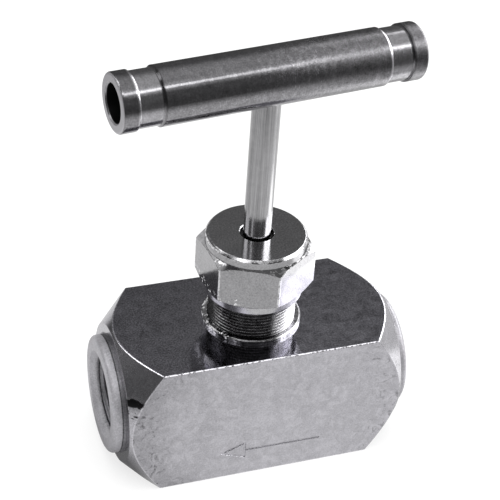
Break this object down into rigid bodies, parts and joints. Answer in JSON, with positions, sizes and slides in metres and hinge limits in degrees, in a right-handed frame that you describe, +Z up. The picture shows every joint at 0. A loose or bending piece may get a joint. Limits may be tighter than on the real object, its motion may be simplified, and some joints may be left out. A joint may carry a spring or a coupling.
{
  "type": "needle valve",
  "caption": "Bar-stock needle valve with threaded pipe ports in both ends, a screwed hexagonal bonnet and a T-bar handle that screws the needle off its seat.",
  "frame": {"origin": "centre of the body's underside, on the stem's axis, which is also the centre of the whole valve's bounding box at its base", "axes": "+Z up the stem, +X out of the inlet port, so flow is towards -X; the flow arrow is on the -Y face"},
  "size_m": [0.085, 0.04, 0.1219],
  "materials": {
    "body_steel": "bright polished stainless steel, satin on the marked face",
    "bonnet_steel": "bright polished stainless steel",
    "ring_steel": "bright stainless steel",
    "stem_steel": "satin stainless steel, ground lengthwise",
    "handle_steel": "turned stainless steel",
    "pin_steel": "ground stainless steel",
    "hard_steel": "hardened stainless steel",
    "packing_ptfe": "white PTFE",
    "seal_rubber": "black rubber"
  },
  "bodies": {
    "valve": {"valve_body": "body_steel", "bonnet": "bonnet_steel", "bonnet_lock_ring": "ring_steel", "bonnet_o_ring": "seal_rubber", "bonnet_backup_ring": "packing_ptfe", "seat_insert": "hard_steel", "packing_retainer": "bonnet_steel", "lower_packing_support": "hard_steel", "lower_packing_ring": "packing_ptfe", "middle_packing_ring": "packing_ptfe", "upper_packing_ring": "packing_ptfe", "upper_packing_support": "hard_steel", "stem_wiper": "seal_rubber"},
    "needle": {"lower_stem": "stem_steel", "needle_tip": "hard_steel", "thrust_ball": "hard_steel"},
    "spindle": {"upper_stem": "stem_steel", "stem_retaining_ring": "hard_steel", "handle_bar": "handle_steel", "handle_pin": "pin_steel"}
  },
  "joints": [
    {"name": "stem_lift", "type": "slide", "parent": "valve", "child": "needle", "axis": [0, 0, 1], "range_m": [0, 0.005]},
    {"name": "handle_turn", "type": "hinge", "parent": "needle", "child": "spindle", "pos_m": [0, 0, 0.1143], "axis": [0, 0, 1], "range_deg": [0, 1440]}
  ],
  "couplings": [
    {"joint": "stem_lift", "follows": "handle_turn", "m_per_rad": 0.00019894}
  ]
}
